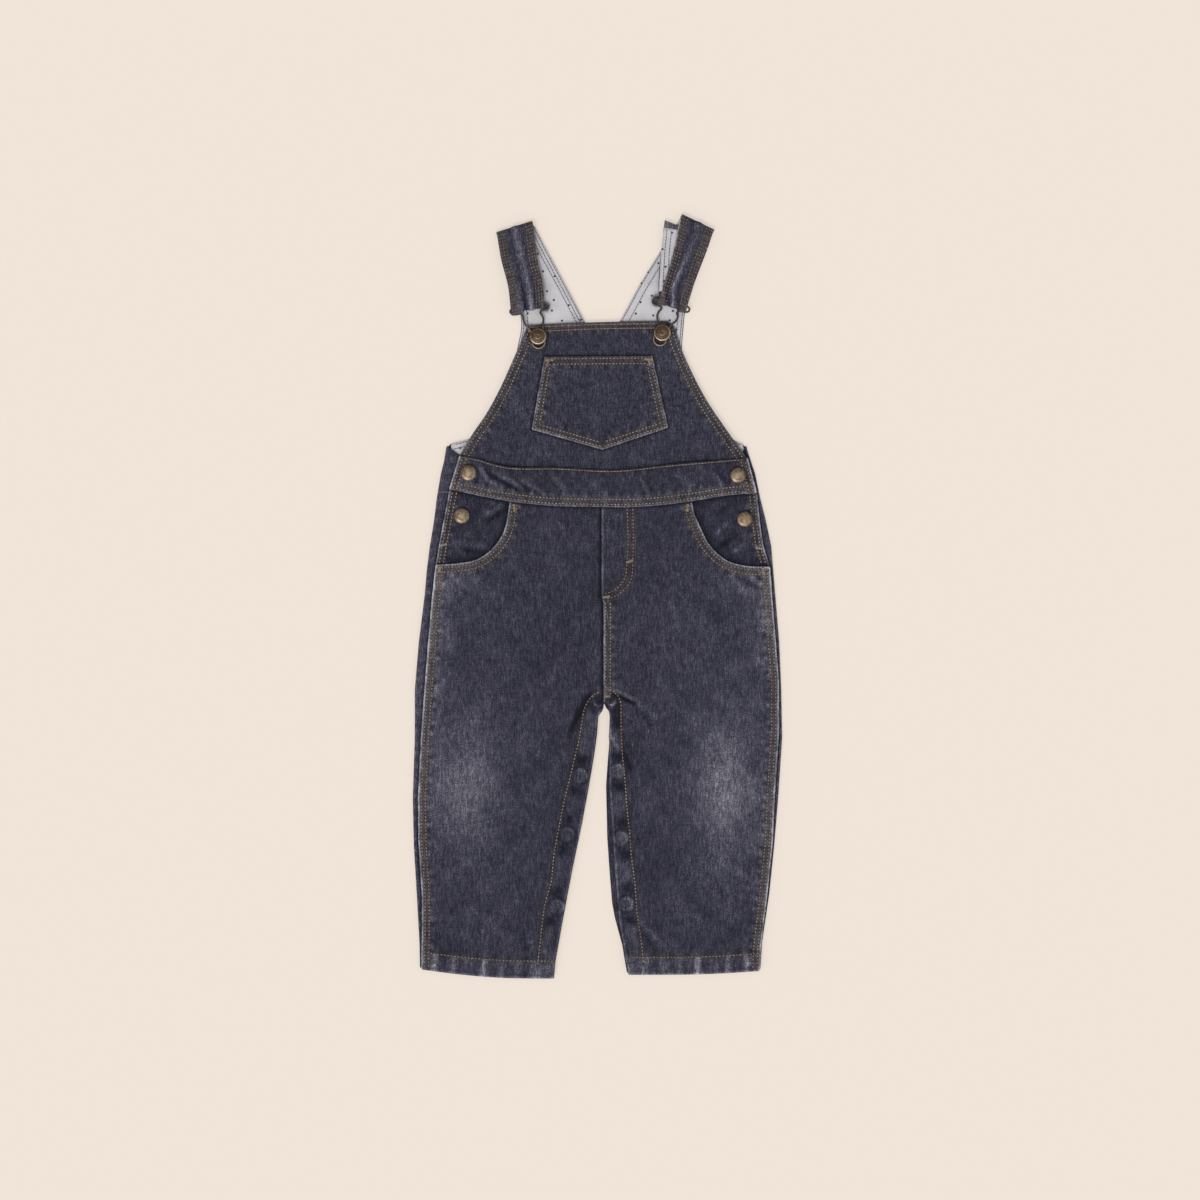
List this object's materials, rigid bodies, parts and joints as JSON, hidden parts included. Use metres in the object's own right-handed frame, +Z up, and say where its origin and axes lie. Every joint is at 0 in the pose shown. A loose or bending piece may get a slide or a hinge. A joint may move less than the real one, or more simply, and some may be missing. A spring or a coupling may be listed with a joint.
{
  "type": "overalls (toddler's denim dungarees, laid flat)",
  "caption": "Denim bib dungarees laid flat, front up, with crossing-back straps, wire buckles, bib and hip pockets and snap inner legs.",
  "frame": {"origin": "on the surface under the middle of the laid garment's bounding box", "axes": "+Y from the hems to the straps, +Z up from the surface to the front, +X to the right as seen from above"},
  "size_m": [0.2766, 0.5724, 0.0091],
  "materials": {
    "denim": "matte",
    "lining": "matte",
    "brass": "satin",
    "wire": "satin"
  },
  "bodies": {
    "root": {"back_left": "denim", "back_right": "denim", "back_bib": "denim", "back_lining": "lining", "pocket_facing_left": "denim", "pocket_facing_right": "denim", "front_left": "denim", "front_right": "denim", "bib_front": "denim", "waist_panel": "denim", "bib_pocket": "denim", "strap_left": "denim", "strap_right": "denim", "strap_end_lining_right": "lining", "buckle_left": "wire", "buckle_right": "wire", "bib_button_left": "brass", "bib_button_right": "brass", "waist_button_left": "brass", "waist_button_right": "brass", "hip_button_left": "brass", "hip_button_right": "brass", "snap_left_1": "wire", "snap_left_2": "wire", "snap_left_3": "wire", "snap_right_1": "wire", "snap_right_2": "wire", "snap_right_3": "wire", "snap_crotch": "wire"}
  },
  "joints": []
}
